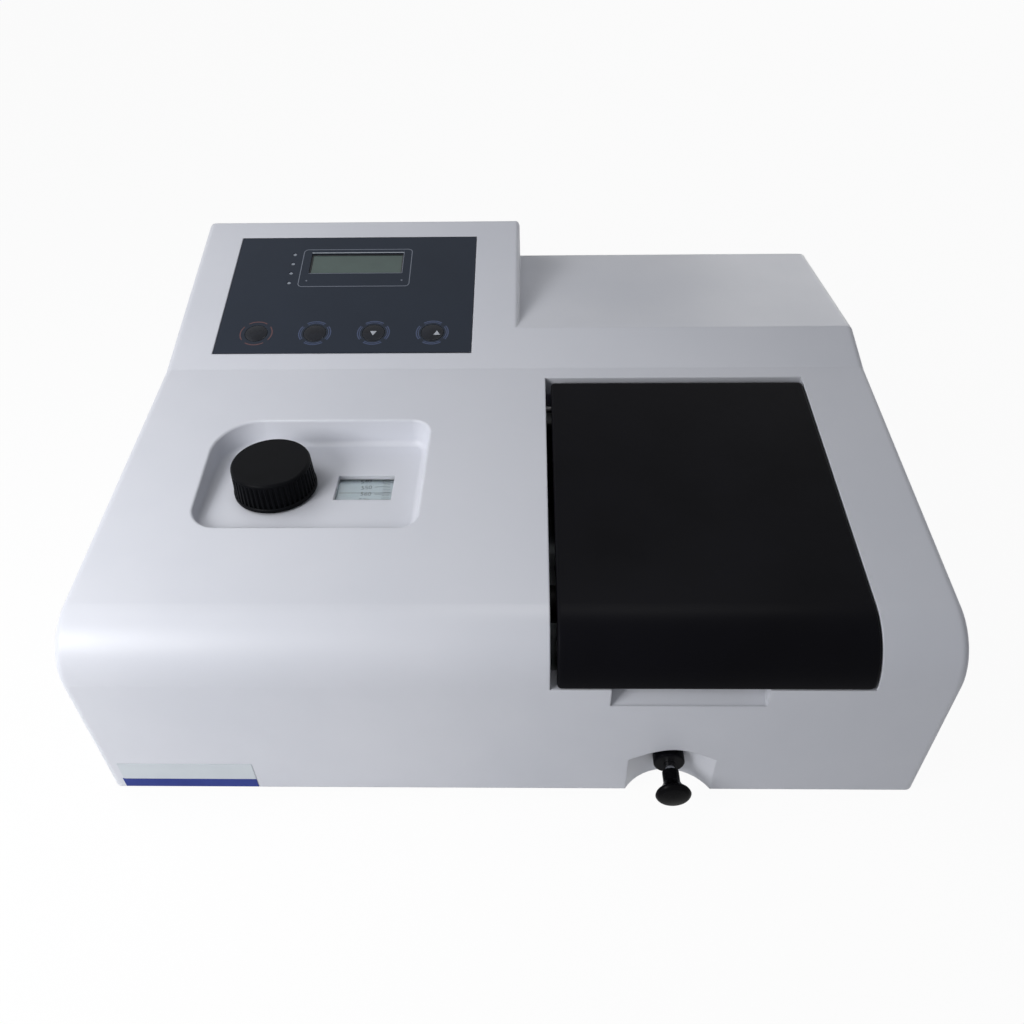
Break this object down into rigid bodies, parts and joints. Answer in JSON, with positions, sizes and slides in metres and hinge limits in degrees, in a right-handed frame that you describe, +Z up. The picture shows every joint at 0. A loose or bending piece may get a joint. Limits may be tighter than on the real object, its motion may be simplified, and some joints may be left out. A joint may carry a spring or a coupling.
{
  "type": "visible spectrophotometer",
  "caption": "Bench spectrophotometer: grey wedge casing, black hinged sample lid, sloping console with display and keys, wavelength knob in a pocket, and a sample pull rod.",
  "frame": {"origin": "centre of the bounding box's base, on the table under the feet", "axes": "+X to the user's right along the width, +Y to the back, +Z up"},
  "size_m": [0.46, 0.4074, 0.1902],
  "materials": {
    "cover_plastic": "fine satin grain, light grey, moulded",
    "black_plastic": "satin black",
    "zinc_steel": "zinc plated sheet",
    "rubber": "matte",
    "painted_sheet": "fine textured grey paint",
    "cast_aluminium": "sand cast, machined faces",
    "black_aluminium": "matte black paint",
    "plated_steel": "bright plated",
    "ground_steel": "ground",
    "bronze": "turned",
    "silica": "polished",
    "mirror_glass": "front silvered",
    "foam": "closed cell foam",
    "board_green": "solder resist",
    "panel_slate": "printed film, dark slate blue",
    "display_glass": "grey green display glass",
    "clear_plastic": "polished acrylic",
    "led_red": "diffused red",
    "key_plastic": "satin dark slate",
    "dial_white": "white enamel with black printed scale",
    "ceramic": "glazed ceramic",
    "copper_iron": "varnished laminations",
    "gloss_black": "gloss black"
  },
  "bodies": {
    "housing": {"top_cover": "cover_plastic", "base_plate": "zinc_steel", "front_left_foot": "rubber", "front_right_foot": "rubber", "rear_left_foot": "rubber", "rear_right_foot": "rubber", "base_screws": "zinc_steel", "rear_panel": "painted_sheet", "rear_panel_screws": "zinc_steel", "mains_inlet": "gloss_black", "power_switch": "gloss_black", "lid_hinge_pins": "ground_steel", "sample_chamber": "black_aluminium", "lid_seal": "foam", "guide_rods": "ground_steel", "rod_bush": "black_plastic", "chamber_windows": "silica", "beam_tube": "black_aluminium", "detector_housing": "black_aluminium", "photodiode": "plated_steel", "preamp_board": "board_green", "monochromator_case": "cast_aluminium", "monochromator_lid": "cast_aluminium", "exit_slit": "black_aluminium", "entrance_slit": "black_aluminium", "collimating_mirror": "mirror_glass", "focusing_mirror": "mirror_glass", "return_spring": "ground_steel", "shaft_bush": "bronze", "dial_window": "clear_plastic", "lamp_house": "painted_sheet", "lamp_holder": "ceramic", "halogen_lamp": "silica", "condenser_barrel": "black_aluminium", "condenser_lens": "silica", "fold_mirror": "mirror_glass", "main_board": "board_green", "transformer": "copper_iron", "display_panel": "panel_slate", "display_board": "board_green", "lcd_module": "display_glass", "indicator_leds": "led_red"},
    "lid": {"sample_lid": "black_plastic"},
    "sample_slide": {"cell_carriage": "black_aluminium", "pull_rod": "plated_steel", "pull_knob": "black_plastic"},
    "wavelength_drive": {"wavelength_knob": "black_plastic", "knob_shaft": "ground_steel", "dial_disc": "dial_white", "wavelength_cam": "ground_steel"},
    "grating_turntable": {"grating_table": "ground_steel", "grating": "mirror_glass", "follower_arm": "ground_steel"},
    "cam_roller": {"follower_roller": "bronze"},
    "mode_button": {"mode_key": "key_plastic"},
    "enter_button": {"enter_key": "key_plastic"},
    "down_button": {"down_key": "key_plastic"},
    "up_button": {"up_key": "key_plastic"},
    "rocker": {"power_rocker": "gloss_black"}
  },
  "joints": [
    {"name": "lid_hinge", "type": "hinge", "parent": "housing", "child": "lid", "pos_m": [0.105, 0.0007, 0.14165], "axis": [-1, 0, 0], "range_deg": [0, 78]},
    {"name": "sample_pull", "type": "slide", "parent": "housing", "child": "sample_slide", "axis": [0, -1, 0], "range_m": [0, 0.045]},
    {"name": "wavelength_turn", "type": "hinge", "parent": "housing", "child": "wavelength_drive", "pos_m": [-0.1383, -0.0638, 0.109], "axis": [0, 0, 1], "range_deg": [-149, 188]},
    {"name": "grating_turn", "type": "hinge", "parent": "housing", "child": "grating_turntable", "pos_m": [-0.09, -0.0183, 0.048], "axis": [0, 0, 1], "range_deg": [-12, 15], "deforming": ["return_spring"]},
    {"name": "roller_spin", "type": "hinge", "parent": "grating_turntable", "child": "cam_roller", "pos_m": [-0.10845, -0.06261, 0.1115], "axis": [0, 0, 1], "continuous": true},
    {"name": "mode_press", "type": "slide", "parent": "housing", "child": "mode_button", "axis": [0, 0.2588, -0.9659], "range_m": [0, 0.0005], "stiffness_N_per_m": 3000},
    {"name": "enter_press", "type": "slide", "parent": "housing", "child": "enter_button", "axis": [0, 0.2588, -0.9659], "range_m": [0, 0.0005], "stiffness_N_per_m": 3000},
    {"name": "down_press", "type": "slide", "parent": "housing", "child": "down_button", "axis": [0, 0.2588, -0.9659], "range_m": [0, 0.0005], "stiffness_N_per_m": 3000},
    {"name": "up_press", "type": "slide", "parent": "housing", "child": "up_button", "axis": [0, 0.2588, -0.9659], "range_m": [0, 0.0005], "stiffness_N_per_m": 3000},
    {"name": "power_rock", "type": "hinge", "parent": "housing", "child": "rocker", "pos_m": [-0.09, 0.1967, 0.048], "axis": [-1, 0, 0], "range_deg": [0, 12]}
  ],
  "couplings": [
    {"joint": "grating_turn", "follows": "wavelength_turn", "ratio": 0.0772}
  ]
}
